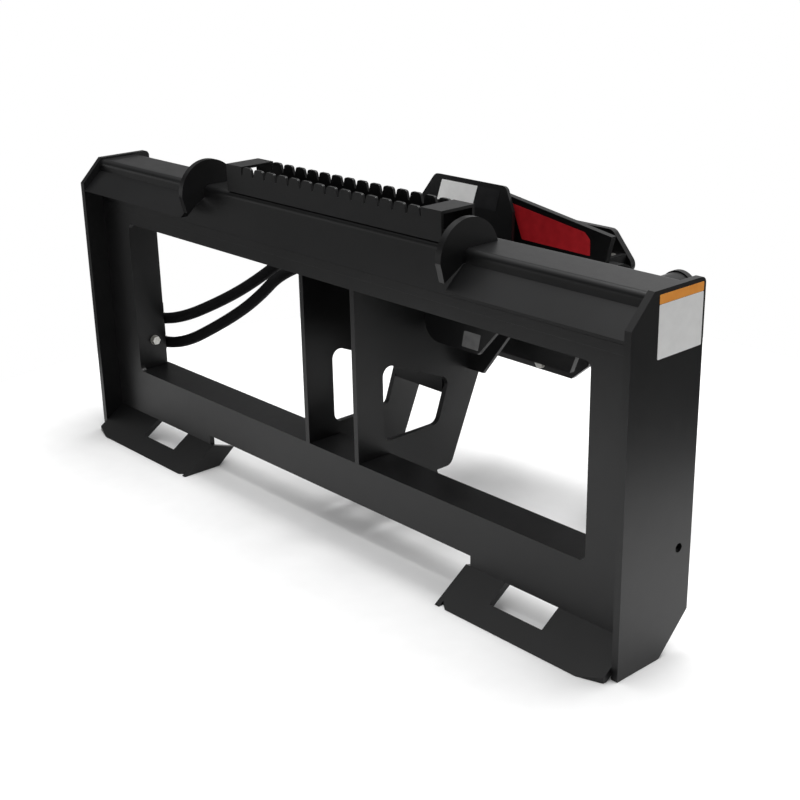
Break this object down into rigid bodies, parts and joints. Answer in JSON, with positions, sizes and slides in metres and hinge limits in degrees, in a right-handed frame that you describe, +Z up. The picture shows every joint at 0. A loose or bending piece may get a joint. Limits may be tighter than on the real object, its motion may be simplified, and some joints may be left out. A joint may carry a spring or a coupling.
{
  "type": "earth auger drive",
  "caption": "Loader-mounted earth auger drive: coupler frame with window, offset boom, hydraulic hoses and a planetary drive hanging from a two-way pivot.",
  "frame": {"origin": "on the floor, under the middle of the overall box", "axes": "+Z up, -Y towards the loader, +X towards the side on which the drive hangs"},
  "size_m": [1.156, 0.4606, 0.507],
  "materials": {
    "black_coat": "satin powder coat",
    "hose_rubber": "matte",
    "zinc": "zinc plated",
    "bright_steel": "machined",
    "seal_rubber": "matte"
  },
  "bodies": {
    "frame": {"arm_end_plate": "black_coat", "arm_plate_front": "black_coat", "arm_plate_rear": "black_coat", "back_plate": "black_coat", "boom_plate_left": "black_coat", "boom_plate_right": "black_coat", "boom_tie": "black_coat", "bulkhead_couplings": "zinc", "coupler_bracket": "black_coat", "coupler_tab_left": "black_coat", "coupler_tab_right": "black_coat", "end_plate_left": "black_coat", "end_plate_right": "black_coat", "face_plate": "black_coat", "ferrules": "zinc", "guard_plate": "black_coat", "gusset_left": "black_coat", "gusset_right": "black_coat", "heel": "black_coat", "hook_left": "black_coat", "hook_right": "black_coat", "hose_a": "hose_rubber", "hose_b": "hose_rubber", "hub_tube": "black_coat", "hub_web_left": "black_coat", "hub_web_right": "black_coat", "jamb_left": "black_coat", "jamb_right": "black_coat", "lip_left": "black_coat", "lip_right": "black_coat", "plate_bolts": "zinc", "quick_couplers": "zinc", "sill": "black_coat", "step": "black_coat", "top_tube": "black_coat"},
    "knuckle": {"knuckle": "black_coat", "knuckle_nut": "bright_steel"},
    "drive": {"hanger": "black_coat", "hanger_pin": "bright_steel", "gearbox": "black_coat", "drive_bolts": "zinc", "motor": "black_coat", "port_fittings": "zinc", "bearing": "bright_steel", "shaft_seal": "seal_rubber", "ring_gear": "bright_steel"},
    "output": {"output_shaft": "bright_steel"},
    "sun": {"sun_gear": "bright_steel"},
    "planet_a_body": {"planet_a": "bright_steel"},
    "planet_b_body": {"planet_b": "bright_steel"},
    "planet_c_body": {"planet_c": "bright_steel"}
  },
  "joints": [
    {"name": "hub_swing", "type": "hinge", "parent": "frame", "child": "knuckle", "pos_m": [0.322, 0.16282, 0.34], "axis": [1, 0, 0], "range_deg": [-35, 60]},
    {"name": "pin_swing", "type": "hinge", "parent": "knuckle", "child": "drive", "pos_m": [0.322, 0.16282, 0.34], "axis": [0, 1, 0], "range_deg": [-25, 15]},
    {"name": "output_turn", "type": "hinge", "parent": "drive", "child": "output", "pos_m": [0.322, 0.16282, 0.04], "axis": [0, 0, 1], "continuous": true},
    {"name": "sun_turn", "type": "hinge", "parent": "drive", "child": "sun", "pos_m": [0.322, 0.16282, 0.12], "axis": [0, 0, 1], "continuous": true},
    {"name": "planet_a_turn", "type": "hinge", "parent": "output", "child": "planet_a_body", "pos_m": [0.322, 0.19282, 0.12], "axis": [0, 0, 1], "continuous": true},
    {"name": "planet_b_turn", "type": "hinge", "parent": "output", "child": "planet_b_body", "pos_m": [0.29602, 0.14783, 0.12], "axis": [0, 0, 1], "continuous": true},
    {"name": "planet_c_turn", "type": "hinge", "parent": "output", "child": "planet_c_body", "pos_m": [0.34798, 0.14783, 0.12], "axis": [0, 0, 1], "continuous": true}
  ],
  "couplings": [
    {"joint": "sun_turn", "follows": "output_turn", "ratio": 5},
    {"joint": "planet_a_turn", "follows": "output_turn", "ratio": -2.6667},
    {"joint": "planet_b_turn", "follows": "output_turn", "ratio": -2.6667},
    {"joint": "planet_c_turn", "follows": "output_turn", "ratio": -2.6667}
  ]
}
